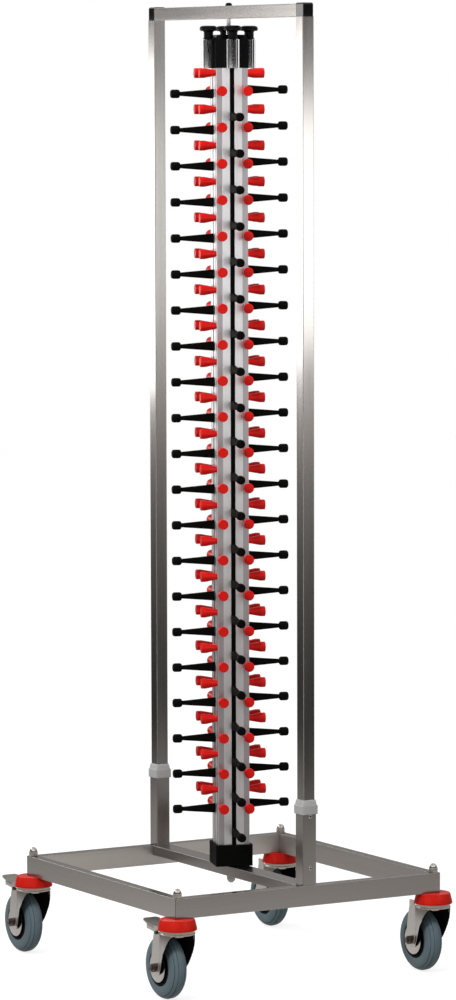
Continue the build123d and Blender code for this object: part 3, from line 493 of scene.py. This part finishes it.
def buildArm(bm):
    wide, tall, start = arm["width"] / 2, arm["rootHeight"] / 2, arm["start"]
    made = makeBox(bm, (-wide, -tall, start), (wide, tall, start + arm["length"]))
    tip = [vert for vert in made if vert.co.z > start + arm["length"] / 2]
    taper = (arm["tipHeight"] / arm["width"], arm["tipHeight"] / arm["rootHeight"], 1)
    bmesh.ops.scale(bm, vec=taper, verts=tip)
    long = [edge for edge in bm.edges if edge.calc_length() > arm["length"] * 0.9]
    roundEdges(bm, long, arm["edge"], 3)


def buildCap(bm):
    low = arm["start"] + arm["length"]
    high = low + cap["length"]
    radius, edge = cap["radius"], cap["round"]
    lathe(bm, [(0, low), (radius - edge * 0.7, low), (radius - 0.0004, low + edge * 0.55),
               (radius, low + edge * 1.3), (radius, high - edge * 1.3), (radius - 0.0006, high - edge * 0.5),
               (radius - edge * 0.8, high), (0, high)], cap["steps"])


armMesh, capMesh = template(buildArm), template(buildCap)
for side in sides:
    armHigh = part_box(f"rack_arms_{side}")[1].z - arm["rootHeight"] / 2
    armBm, capBm = bmesh.new(), bmesh.new()
    for index in range(station["count"]):
        place = outward(side, 0, armHigh - index * pitch)
        stamp(armBm, armMesh, place)
        stamp(capBm, capMesh, place)
    body = f"rack_{side}"
    addPiece(f"rackArms.{side}", armBm, blackMatt, body, [f"rack_arms_{side}"])
    addPiece(f"armCaps.{side}", capBm, blackMatt, body, [f"arm_caps_{side}"])

sleeve = {"radius": 0.0135, "wall": 0.0015, "lid": 0.004, "hole": 0.0053, "slit": 22, "edge": 0.0005,
          "steps": 64}
sleeveLow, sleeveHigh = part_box("adjuster_sleeves")


def buildSleeve(bm):  # a tube slit open towards the column, under a lid with a hole
    radius, inner, rim = sleeve["radius"], sleeve["radius"] - sleeve["wall"], sleeveHigh.z - sleeve["lid"]
    slit = math.radians(sleeve["slit"])
    outline = ((inner, sleeveLow.z), (radius, sleeveLow.z), (radius, rim), (inner, rim))
    section = bm.faces.new([bm.verts.new((out, 0, height)) for out, height in outline])
    bmesh.ops.rotate(bm, cent=(0, 0, 0), matrix=Matrix.Rotation(math.pi + slit, 3, "Z"), verts=section.verts)
    bmesh.ops.spin(bm, geom=[section, *section.verts, *section.edges], cent=(0, 0, 0), axis=(0, 0, 1),
                   angle=math.tau - 2 * slit, steps=sleeve["steps"], use_merge=False)
    edge, hole = sleeve["edge"], sleeve["hole"]
    lathe(bm, [(hole, rim), (radius, rim), (radius, sleeveHigh.z - edge), (radius - edge, sleeveHigh.z),
               (hole, sleeveHigh.z), (hole, rim)], sleeve["steps"])


sleeveMesh = template(buildSleeve)
bm = bmesh.new()
for side in sides:
    stamp(bm, sleeveMesh, knobPlace[side] @ Matrix.Rotation(sideAngle[side], 4, "Z"))
addPiece("sleeveTubes", bm, polished, "column", ["adjuster_sleeves"])

knob = {"disc": 0.0175, "neck": 0.0093, "foot": 0.0108, "neckHeight": 0.016, "rim": 0.0042, "stud": 0.005,
        "gap": 0.00025, "steps": 48}
for side in sides:
    low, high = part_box(f"adjuster_knob_{side}")
    seat = knobAt[side].z + knob["gap"]
    under = seat + knob["neckHeight"]
    disc, neck, foot, rim, stud = (knob[key] for key in ("disc", "neck", "foot", "rim", "stud"))
    bm = bmesh.new()
    lathe(bm, [(0, low.z), (stud, low.z), (stud, seat), (foot, seat), (foot, seat + 0.002),
               (neck, seat + 0.003), (neck, under - 0.002), (neck + 0.002, under),
               (disc - 0.0022, under + 0.0002), (disc - 0.0005, under + 0.0015), (disc, under + 0.0035),
               (disc - 0.0004, high.z - rim * 0.9), (disc - 0.0018, high.z - rim * 0.4),
               (disc - 0.0045, high.z - 0.0004), (disc - 0.008, high.z), (0, high.z)],
          knob["steps"], knobPlace[side])
    addPiece(f"adjusterKnob.{side}", bm, blackGloss, f"knob_{side}", [f"adjuster_knob_{side}"])
print("column dressed, station pitch", round(pitch, 4))


# castors: dome nuts, bumpers, forks, wheels and the two pedals

castor = {"crownLow": 0.1325, "crownHigh": 0.1355, "crown": 0.0345, "race": 0.033, "raceHigh": 0.1407,
          "innerRace": 0.0275, "innerHigh": 0.149, "bore": 0.0082, "legIn": 0.0205, "sheet": 0.003,
          "railLow": 0.162, "railTop": 0.202, "steps": 48}
bumper = {"brim": 0.03795, "top": 0.0335, "low": 0.141, "bore": 0.0052, "wall": 0.003, "steps": 64}
leg = {"rows": ((0.0485, -0.0520, -0.0460, -0.0375, 0.0006), (0.0505, -0.0560, -0.0420, -0.0310, 0.0015),
                (0.0545, -0.0600, -0.0370, -0.0250, 0.0030), (0.0625, -0.0620, -0.0321, -0.0170, 0.0062),
                (0.0720, -0.0617, -0.0305, -0.0105, 0.0082), (0.0840, -0.0603, -0.0292, -0.0043, 0.0096),
                (0.0968, -0.0585, -0.0290, 0.0018, 0.0108), (0.1100, -0.0560, -0.0290, 0.0095, 0.0092),
                (0.1220, -0.0533, -0.0290, 0.0160, 0.0064), (0.1310, -0.0510, -0.0290, 0.0222, 0.0028),
                (0.1346, -0.0510, -0.0290, 0.0228, 0.0024)),  # height, rear, fold, front, flare
       "ear": ((-0.051, 0.134), (-0.051, 0.1415), (-0.0498, 0.1428), (-0.0355, 0.1428), (-0.0345, 0.1415),
               (-0.0335, 0.134)), "edge": 0.0005, "rimAngle": 1.2, "facing": 0.6, "sharp": 9}
wheel = {"radius": 0.0625, "halfWidth": 0.017, "rim": 0.037, "hubHalf": 0.0187, "bore": 0.0051,
         "grooves": (23, 50), "grooveDeep": 0.0014, "steps": 72}  # grooves in degrees from the middle
guard = {"radius": 0.029, "sheet": 0.0015, "steps": 48}
nut = {"across": 0.017, "hexHeight": 0.009, "dome": 0.0076, "top": 0.018, "axleAcross": 0.015,
       "axleHeight": 0.009, "axleEnd": 0.013, "headHeight": 0.0065, "axle": 0.005, "chamfer": 0.0007,
       "steps": 24}
pedal = {"halfWidth": 0.0185, "sheet": 0.002, "round": 0.008, "pinX": -0.0385, "pinZ": 0.132, "pin": 0.003,
         "pinHead": 0.0038, "pinHalf": 0.0280, "pinSteps": 20, "shoeEdge": 0.0012,
         "tread": ((-0.0385, 0.1395), (-0.086, 0.1433), (-0.090, 0.1441), (-0.107, 0.1492)),
         "shoe": ((-0.053, -0.013, 0.1284), (-0.045, 0.013, 0.1385)),
         "flange": ((-0.0385, 0.1385), (-0.0345, 0.135), (-0.0335, 0.132), (-0.0345, 0.129), (-0.0385, 0.127),
                    (-0.082, 0.132), (-0.087, 0.132), (-0.088, 0.1332), (-0.088, 0.1425))}
sideways = Matrix.Rotation(-math.pi / 2, 4, "X")  # local Z to world Y


def sheetPlate(bm, outline, low, high, edge=0.0006):  # an (x, z) outline in sheet between two y planes
    verts = [bm.verts.new((x, low, z)) for x, z in outline]
    flat = bm.faces.new(verts)
    raised = bmesh.ops.extrude_face_region(bm, geom=[flat])["geom"]
    bmesh.ops.translate(bm, vec=(0, high - low, 0), verts=vertsOf(raised))
    rims = [item for item in raised if isinstance(item, bmesh.types.BMEdge)] + list(flat.edges)
    roundEdges(bm, rims, edge, 2)


def hexNut(bm, across, low, high, place):
    radius = across / math.sqrt(3)
    made = bmesh.ops.create_cone(bm, cap_ends=True, segments=6, radius1=radius, radius2=radius,
                                 depth=high - low)["verts"]
    bmesh.ops.translate(bm, vec=(0, 0, (low + high) / 2), verts=made)
    bmesh.ops.transform(bm, matrix=place, verts=made)
    roundEdges(bm, edgesOf(made), nut["chamfer"], 2)


def arcPoints(centre, radius, start, end, count):
    step = (end - start) / (count - 1)
    return [(centre[0] + radius * math.cos(math.radians(start + step * index)),
             centre[1] + radius * math.sin(math.radians(start + step * index))) for index in range(count)]


def buildTyre(bm):
    rim, half, (inner, outer) = wheel["rim"], wheel["halfWidth"], wheel["grooves"]
    crown = wheel["radius"] - half
    angles = [-90, -78, -66]
    for groove in (-outer, -inner, inner, outer):
        angles += [groove - 5, groove - 3, groove, groove + 3, groove + 5]
        angles += [groove + 9, groove + 14] if groove != outer else [66, 78, 90]
    profile = [(rim, -0.0160), (rim + 0.0012, -0.0167), (rim + 0.004, -half)]
    for angle in sorted(angles):
        inGroove = min(abs(abs(angle) - inner), abs(abs(angle) - outer)) < 2
        reach, turn = half - wheel["grooveDeep"] * inGroove, math.radians(angle)
        profile.append((crown + reach * math.cos(turn), reach * math.sin(turn)))
    profile += [(rim + 0.004, half), (rim + 0.0012, 0.0167), (rim, 0.0160), (rim, -0.0160)]
    lathe(bm, profile, wheel["steps"])


def buildHub(bm):
    rim, half = wheel["rim"] - 0.0002, wheel["hubHalf"]
    outer = [(wheel["bore"], half), (0.0125, half), (0.0133, half - 0.0008), (0.0146, 0.0096),
             (0.0154, 0.0085), (0.0282, 0.0085), (0.0300, 0.0096), (0.0330, 0.0164), (0.0337, 0.0169),
             (0.0361, 0.0169), (rim, 0.0163)]
    profile = [(radius, -width) for radius, width in outer] + outer[::-1]
    lathe(bm, profile + [profile[0]], wheel["steps"])


def buildGuard(bm):  # pressed disc with a rolled edge, set against the leg
    outer, rim, bore = castor["legIn"], guard["radius"], wheel["bore"]
    inner = outer - guard["sheet"]
    lathe(bm, [(bore, inner), (rim - 0.004, inner), (rim - 0.0015, outer - 0.0014), (rim, outer - 0.0010),
               (rim, outer - 0.0006), (rim - 0.0012, outer), (bore, outer), (bore, inner)], guard["steps"])


def buildFork(bm):  # pressed legs with a fold, the crown and its races
    inner, sheet = castor["legIn"], castor["sheet"]
    for hand in (-1, 1):
        loops = []
        for height, rear, fold, front, flare in leg["rows"]:
            skin = [(rear, 0), ((rear + fold) / 2, 0), (fold, 0), ((fold + front) / 2, flare / 2),
                    (front, flare)]
            crease = [(rear, 0), (fold - 0.0012, 0), (fold, -0.0007), (fold + 0.0012, 0.0003), (front, flare)]
            ring = [(x, inner + out) for x, out in skin]
            ring += [(x, inner + sheet + out) for x, out in crease[::-1]]
            verts = [bm.verts.new((x, hand * y, height)) for x, y in ring]
            loops.append([bm.edges.new(pair) for pair in zip(verts, verts[1:] + verts[:1])])
        for low, high in zip(loops, loops[1:]):
            bmesh.ops.bridge_loops(bm, edges=low + high)
        bmesh.ops.edgeloop_fill(bm, edges=loops[0])
        bmesh.ops.edgeloop_fill(bm, edges=loops[-1])
        sheetPlate(bm, leg["ear"], *sorted((hand * inner, hand * (inner + sheet))))
    bmesh.ops.recalc_face_normals(bm, faces=bm.faces)
    rims = [edge for edge in bm.edges
            if edge.calc_face_angle(0) > leg["rimAngle"] and edge.calc_length() > sheet * 0.9]
    roundEdges(bm, rims, leg["edge"], 1)
    low, high, top = castor["crownLow"], castor["crownHigh"], castor["raceHigh"]
    disc, race, bore = castor["crown"], castor["race"], castor["bore"]
    lathe(bm, [(bore, low), (disc - 0.001, low), (disc, low + 0.001), (disc, high - 0.0012),
               (disc - 0.0008, high - 0.0002), (race + 0.0004, high), (race, high + 0.0006),
               (race, top - 0.0006), (race - 0.0006, top), (castor["innerRace"], top),
               (castor["innerRace"], castor["innerHigh"]), (bore, castor["innerHigh"]), (bore, low)],
          castor["steps"])
    bmesh.ops.recalc_face_normals(bm, faces=bm.faces)
    for face in bm.faces:  # painted shade: the faces inside the fork, the legs' cut front edges below the crown and the crown's underside take the black finish; the races take the nut finish
        middle = face.calc_center_median()
        onLeg = abs(middle.y) > inner - 0.001
        shadeFacingWheel = onLeg and face.normal.y * middle.y < 0 and abs(face.normal.y) > leg["facing"]
        shadeOnCutEdge = onLeg and face.normal.x > leg["facing"] and middle.z < low
        if shadeFacingWheel or shadeOnCutEdge or (face.normal.z < -0.9 and abs(middle.z - low) < 0.0002):
            face.material_index = 1
        elif middle.z > low and math.hypot(middle.x, middle.y) < disc + 0.0001:
            face.material_index = 2


def buildBumper(bm):  # a shallow cup under the rail
    low, high, brim, top = bumper["low"], castor["railLow"], bumper["brim"], bumper["top"]
    bore, wall = bumper["bore"], bumper["wall"]
    lathe(bm, [(bore, high - wall), (top - wall, high - wall), (brim - 0.0034, low + 0.0008),
               (brim - wall, low), (brim - 0.0005, low), (brim, low + 0.0005), (brim, low + 0.0028),
               (brim - 0.0003, low + 0.0038), (top + 0.0004, high - 0.0018), (top - 0.0004, high - 0.0006),
               (top - 0.0016, high), (bore, high), (bore, high - wall)], bumper["steps"])


def buildDomeNut(bm):
    low = castor["railTop"]
    shoulder = low + nut["hexHeight"]
    hexNut(bm, nut["across"], low, shoulder, Matrix.Identity(4))
    dome = domeProfile(nut["dome"], shoulder, nut["top"] - nut["hexHeight"])
    hexFaces = set(bm.faces)
    lathe(bm, [(nut["dome"], shoulder - 0.001)] + dome, nut["steps"])
    for face in bm.faces:
        if face not in hexFaces:
            face.material_index = 1


def treadHeight(x):
    for (backX, backZ), (frontX, frontZ) in zip(pedal["tread"][1:], pedal["tread"]):
        if x >= backX - 1e-9:
            return frontZ + (backZ - frontZ) * (frontX - x) / (frontX - backX)
    return pedal["tread"][-1][1]


def buildPedal(bm):
    half, sheet, curve = pedal["halfWidth"], pedal["sheet"], pedal["round"]
    root, tip = pedal["tread"][0][0], pedal["tread"][-1][0]
    corner = arcPoints((tip + curve, half - curve), curve, 180, 90, 7)
    outline = [(root, -half)] + [(x, -y) for x, y in corner[::-1]] + corner + [(root, half)]
    bm.faces.new([bm.verts.new((x, y, 0)) for x, y in outline])
    for bend in pedal["tread"][1:-1]:
        bmesh.ops.bisect_plane(bm, geom=bm.verts[:] + bm.edges[:] + bm.faces[:], plane_co=(bend[0], 0, 0),
                               plane_no=(1, 0, 0))
    for vert in bm.verts:
        vert.co.z = treadHeight(vert.co.x) - sheet
    raised = bmesh.ops.extrude_face_region(bm, geom=bm.faces[:], use_keep_orig=True)["geom"]
    bmesh.ops.translate(bm, vec=(0, 0, sheet), verts=vertsOf(raised))
    for face in [item for item in raised if isinstance(item, bmesh.types.BMFace)]:
        face.material_index = 1
    sheetPlate(bm, pedal["flange"], half - sheet, half)
    sheetPlate(bm, pedal["flange"], -half, sheet - half)
    roundedBox(bm, *pedal["shoe"], pedal["shoeEdge"], 2)
    pinPlace = Matrix.Translation((pedal["pinX"], 0, pedal["pinZ"])) @ sideways
    end, radius, head = pedal["pinHalf"], pedal["pin"], pedal["pinHead"]
    plain = set(bm.faces)
    seat = castor["legIn"] + castor["sheet"] + 0.0002
    pinEnd = [(0, end), (head - 0.0012, end), (head, end - 0.0007), (head, seat), (radius, seat)]
    lathe(bm, pinEnd + [(reach, -out) for reach, out in pinEnd[::-1]], pedal["pinSteps"], pinPlace)
    for face in bm.faces:
        if face not in plain:
            face.material_index = 2


tyreMesh, hubMesh, guardMesh = template(buildTyre), template(buildHub), template(buildGuard)
bumperMesh, domeNutMesh, pedalMesh = template(buildBumper), template(buildDomeNut), template(buildPedal)
forkMesh = template(buildFork)
bumperBm, nutBm = bmesh.new(), bmesh.new()
for corner in corners:
    stem = Vector(joints[f"castor_{corner}_swivel"]["pos_m"])
    at = Matrix.Translation((stem.x, stem.y, 0))
    axleAt = Matrix.Translation(joints[f"wheel_{corner}_roll"]["pos_m"]) @ sideways
    stamp(bumperBm, bumperMesh, at)
    stamp(nutBm, domeNutMesh, at)
    tyreBm, hubBm, forkBm, axleBm, nutsBm = (bmesh.new() for piece in range(5))
    stamp(tyreBm, tyreMesh, axleAt)
    stamp(hubBm, hubMesh, axleAt)
    stamp(forkBm, forkMesh, at)
    flip = Matrix.Rotation(math.pi, 4, "X")
    stamp(axleBm, guardMesh, axleAt)
    stamp(axleBm, guardMesh, axleAt @ flip)
    legOut = castor["legIn"] + castor["sheet"]
    end = legOut + nut["axleEnd"]
    hexNut(nutsBm, nut["axleAcross"], -legOut - nut["axleHeight"], -legOut, axleAt)
    hexNut(nutsBm, nut["axleAcross"], legOut, legOut + nut["headHeight"], axleAt)
    lathe(nutsBm, [(0, -end), (nut["axle"] - 0.0008, -end), (nut["axle"], 0.0008 - end),
                   (nut["axle"], legOut), (0, legOut)], nut["steps"], axleAt)
    addPiece(f"tyre.{corner}", tyreBm, tyreGrey, f"wheel_{corner}", [f"tyre_{corner}"])
    addPiece(f"hub.{corner}", hubBm, wheelBlack, f"wheel_{corner}", [f"hub_{corner}"])
    # the fork's black second finish is painted shade inside it
    addPiece(f"fork.{corner}", forkBm, zinc, f"castor_{corner}", [f"fork_{corner}"], sharp=leg["sharp"],
             more=(wheelBlack, nutSteel))
    addPiece(f"guards.{corner}", axleBm, zinc, f"castor_{corner}", [f"axle_{corner}"])
    addPiece(f"axleNuts.{corner}", nutsBm, darkSteel, f"castor_{corner}")
    if corner.startswith("front"):
        pedalBm = bmesh.new()
        stamp(pedalBm, pedalMesh, at)
        addPiece(f"pedal.{corner}", pedalBm, zinc, f"pedal_{corner}", [f"pedal_{corner}"],
                 more=(pedalGrey, darkSteel))
addPiece("castorBumpers", bumperBm, bumperRed, "frame", ["castor_bumpers"])
addPiece("castorNuts", nutBm, nutSteel, "frame", ["castor_nuts"], more=(turnedSteel,))
print("castors dressed")


# studio: floor, lamps, world and the camera of the photograph

studio = {"white": 1.0, "fill": 0.28, "floor": (0.3, 0.3, 0.3), "floorGlow": 0.80, "floorHalf": 12,
          "floorReach": 4.0,  # the tones that the metal shows of the floor go by distance
          "floorTones": ((0.0, 0.93), (0.22, 0.86), (0.28, 0.74), (0.34, 0.66), (0.38, 0.59), (0.5, 0.55))}
cameraFit = {"azimuth": -30.263, "distance": 9.3588, "height": 1.741, "pitch": 0.0942, "roll": 0.0028,
             "focalPixels": 4748.8, "imageHeight": 1000, "centre": (228.945, 536.66), "imageWidth": 456,
             "sensor": 36, "clip": 100}


def stagePiece(name, bm, material):
    mesh = bpy.data.meshes.new(name)
    bm.to_mesh(mesh)
    bm.free()
    mesh.materials.append(material)
    item = bpy.data.objects.new(name, mesh)
    bpy.context.scene.collection.objects.link(item)
    return item


def pathMix(tree, rays, base, shown):  # the shown shader for these rays, the base one for the rest
    path = tree.nodes.new("ShaderNodeLightPath")
    factor = path.outputs[rays[0]]
    for ray in rays[1:]:
        either = tree.nodes.new("ShaderNodeMath")
        either.operation = "MAXIMUM"
        tree.links.new(factor, either.inputs[0])
        tree.links.new(path.outputs[ray], either.inputs[1])
        factor = either.outputs[0]
    mix = tree.nodes.new("ShaderNodeMixShader")
    tree.links.new(factor, mix.inputs["Fac"])
    tree.links.new(base, mix.inputs[1])
    tree.links.new(shown, mix.inputs[2])
    return mix.outputs["Shader"]


def toneRamp(tree, distance, reach, tones):  # an emission that follows a list of (share of the reach, tone)
    share = tree.nodes.new("ShaderNodeMath")
    share.operation = "DIVIDE"
    share.inputs[1].default_value = reach
    ramp = tree.nodes.new("ShaderNodeValToRGB")
    for position, tone in tones[1:-1]:
        ramp.color_ramp.elements.new(position)
    for element, (position, tone) in zip(ramp.color_ramp.elements, tones):
        element.position = position
        element.color = (tone, tone * 0.97, tone * 0.94, 1)
    glow = tree.nodes.new("ShaderNodeEmission")
    tree.links.new(distance, share.inputs[0])
    tree.links.new(share.outputs[0], ramp.inputs["Fac"])
    tree.links.new(ramp.outputs["Color"], glow.inputs["Color"])
    return glow.outputs["Emission"]


mirrorRays = ("Is Glossy Ray", "Is Transmission Ray")
floorFinish, shader = newMaterial("floorWhite", studio["floor"], 0.0, 0.7)
tree = floorFinish.node_tree
glow = tree.nodes.new("ShaderNodeEmission")
glow.inputs["Strength"].default_value = studio["floorGlow"]
lit = tree.nodes.new("ShaderNodeAddShader")  # white where the lamps reach it, grey in the shadow
tree.links.new(shader.outputs["BSDF"], lit.inputs[0])
tree.links.new(glow.outputs["Emission"], lit.inputs[1])
coords = tree.nodes.new("ShaderNodeTexCoord")
length = tree.nodes.new("ShaderNodeVectorMath")
length.operation = "LENGTH"
tree.links.new(coords.outputs["Object"], length.inputs[0])
inMetal = toneRamp(tree, length.outputs["Value"], studio["floorReach"], studio["floorTones"])
seen = pathMix(tree, ("Is Camera Ray",), shader.outputs["BSDF"], lit.outputs["Shader"])
tree.links.new(pathMix(tree, mirrorRays, seen, inMetal), tree.nodes["Material Output"].inputs["Surface"])
bm = bmesh.new()
bmesh.ops.create_grid(bm, x_segments=1, y_segments=1, size=studio["floorHalf"])
stagePiece("floor", bm, floorFinish)

world = bpy.data.worlds.new("studio")
world.use_nodes = True
tree = world.node_tree
plain = tree.nodes["Background"]
plain.inputs["Color"].default_value = (1, 1, 1, 1)
plain.inputs["Strength"].default_value = studio["fill"]
white = tree.nodes.new("ShaderNodeBackground")
white.inputs["Color"].default_value = (1, 1, 1, 1)
white.inputs["Strength"].default_value = studio["white"]
backdrop = pathMix(tree, ("Is Camera Ray", *mirrorRays), plain.outputs["Background"],
                   white.outputs["Background"])
tree.links.new(backdrop, tree.nodes["World Output"].inputs["Surface"])
bpy.context.scene.world = world

# flags that show only as reflections in the metal: low walls round the stand, a band at the height of its
# head and patches above the band
flag = {"radius": 2.2, "high": 1.0, "frontHigh": 1.1, "cornerHigh": 1.8, "leftArc": (180, 265),
        "cornerArc": (-95, -32), "frontArc": (-32, 18), "rightArc": (18, 30), "postArc": (30, 80),
        "backArc": (80, 180), "bandRadius": 2.15, "bandHeights": (1.78, 1.9), "topHeights": (1.9, 2.2),
        "steps": 48}
flagTones = {"side": ((0.0, 0.52), (0.06, 0.32), (0.13, 0.12), (0.21, 0.055), (0.4, 0.1), (0.58, 0.18),
                      (0.75, 0.32), (0.84, 0.44), (1.0, 0.9)),
             "post": ((0.0, 0.5), (0.06, 0.3), (0.13, 0.1), (0.2, 0.08), (0.28, 0.13), (0.4, 0.17),
                      (0.57, 0.25), (0.75, 0.38), (0.84, 0.48), (1.0, 0.9)),
             "corner": ((0.0, 0.3), (0.072, 0.12), (0.117, 0.06), (0.222, 0.1), (0.322, 0.18), (0.417, 0.32),
                        (0.467, 0.44), (0.555, 1.0), (0.64, 3.0), (0.96, 3.0), (1.0, 1.0)),
             "front": ((0.0, 0.25), (0.5, 0.3), (0.7, 0.5), (0.85, 0.75), (1.0, 1.0)),
             "back": ((0.0, 0.3), (0.4, 0.28), (0.8, 0.35), (1.0, 0.6))}  # share of the height, tone
bandArcs = ((-142, -57, 0.1), (-57, 24, 0.004), (24, 38, 0.5), (38, 66, 0.01))  # from, to, tone
topArcs = ((-190, -157, 0.03), (-157, -149, 0.28), (-142.5, -133, 4.5), (18, 30, 0.02))


def flagFinish(name, tones, high):
    material = bpy.data.materials.new(name)
    material.use_nodes = True
    tree = material.node_tree
    tree.nodes.remove(tree.nodes["Principled BSDF"])
    coords = tree.nodes.new("ShaderNodeTexCoord")
    split = tree.nodes.new("ShaderNodeSeparateXYZ")
    tree.links.new(coords.outputs["Object"], split.inputs["Vector"])
    glow = toneRamp(tree, split.outputs["Z"], high, tones)
    tree.links.new(glow, tree.nodes["Material Output"].inputs["Surface"])
    return material


def addFlag(name, radius, heights, arc, material):
    bm = bmesh.new()
    start, end = (math.radians(angle) for angle in arc)
    edge = [bm.verts.new((radius * math.cos(start), radius * math.sin(start), z)) for z in heights]
    bmesh.ops.spin(bm, geom=edge + [bm.edges.new(edge)], cent=(0, 0, 0), axis=(0, 0, 1), angle=end - start,
                   steps=flag["steps"], use_merge=False)
    item = stagePiece(name, bm, material)
    item.visible_camera = item.visible_diffuse = item.visible_shadow = False
    item.visible_transmission = item.visible_volume_scatter = False


for name, tones, high in (("left", "side", "high"), ("right", "side", "high"), ("post", "post", "high"),
                          ("corner", "corner", "cornerHigh"), ("front", "front", "frontHigh"),
                          ("back", "back", "high")):
    finish = flagFinish(f"{name}Flag", flagTones[tones], flag[high])
    addFlag(f"{name}Flag", flag["radius"], (0, flag[high]), flag[f"{name}Arc"], finish)
for arcs, heights in ((bandArcs, flag["bandHeights"]), (topArcs, flag["topHeights"])):
    for start, end, tone in arcs:
        name = f"band.{start}.{heights[0]}"
        finish = flagFinish(name, ((0.0, tone), (1.0, tone)), heights[1])
        addFlag(name, flag["bandRadius"], heights, (start, end), finish)


def addLamp(name, place, aim, size, radiance, reflected, roll):
    light = bpy.data.lights.new(name, "AREA")
    light.shape = "RECTANGLE"
    light.size, light.size_y = size
    light.energy = radiance * math.pi * size[0] * size[1]
    item = bpy.data.objects.new(name, light)
    item.location = place
    facing = (Vector(aim) - Vector(place)).to_track_quat("-Z", "Y").to_matrix()
    item.rotation_euler = (facing @ Matrix.Rotation(math.radians(roll), 3, "Z")).to_euler()
    item.visible_glossy = reflected
    bpy.context.scene.collection.objects.link(item)


def around(azimuth, distance, height):
    return (distance * math.cos(math.radians(azimuth)), distance * math.sin(math.radians(azimuth)), height)


lamps = (("leftSoftbox", around(210.3, 2.1, 1.44), (0, 0, 1.44), (1.5, 0.78), 4.6, True, 9),
         ("rightSoftbox", around(20.1, 2.13, 1.42), (0, 0, 1.42), (0.85, 0.56), 3.6, True, 0),
         ("keyLamp", around(-56, 5.2, 4.9), (0, 0, 0.9), (1.9, 1.9), 23.0, False, 0),
         ("topLamp", (0.2, -0.4, 4.6), (0, 0, 0.5), (2.6, 2.6), 3.0, False, 0))
for lamp in lamps:  # name, place, aim, size, radiance, whether it shows in reflections, roll in degrees
    addLamp(*lamp)

cameraData = bpy.data.cameras.new("photoCamera")
cameraData.sensor_fit = "VERTICAL"
cameraData.sensor_height = cameraFit["sensor"]
cameraData.lens = cameraFit["focalPixels"] / cameraFit["imageHeight"] * cameraData.sensor_height
cameraData.shift_x = (cameraFit["imageWidth"] / 2 - cameraFit["centre"][0]) / cameraFit["imageHeight"]
cameraData.shift_y = (cameraFit["centre"][1] - cameraFit["imageHeight"] / 2) / cameraFit["imageHeight"]
cameraData.clip_end = cameraFit["clip"]
camera = bpy.data.objects.new("photoCamera", cameraData)
camera.location = around(cameraFit["azimuth"], cameraFit["distance"], cameraFit["height"])
camera.rotation_euler = (math.pi / 2 - cameraFit["pitch"], cameraFit["roll"],
                         math.radians(cameraFit["azimuth"]) + math.pi / 2)
bpy.context.scene.collection.objects.link(camera)
bpy.context.scene.camera = camera
bpy.context.scene.view_settings.view_transform = "Standard"
print("studio ready")
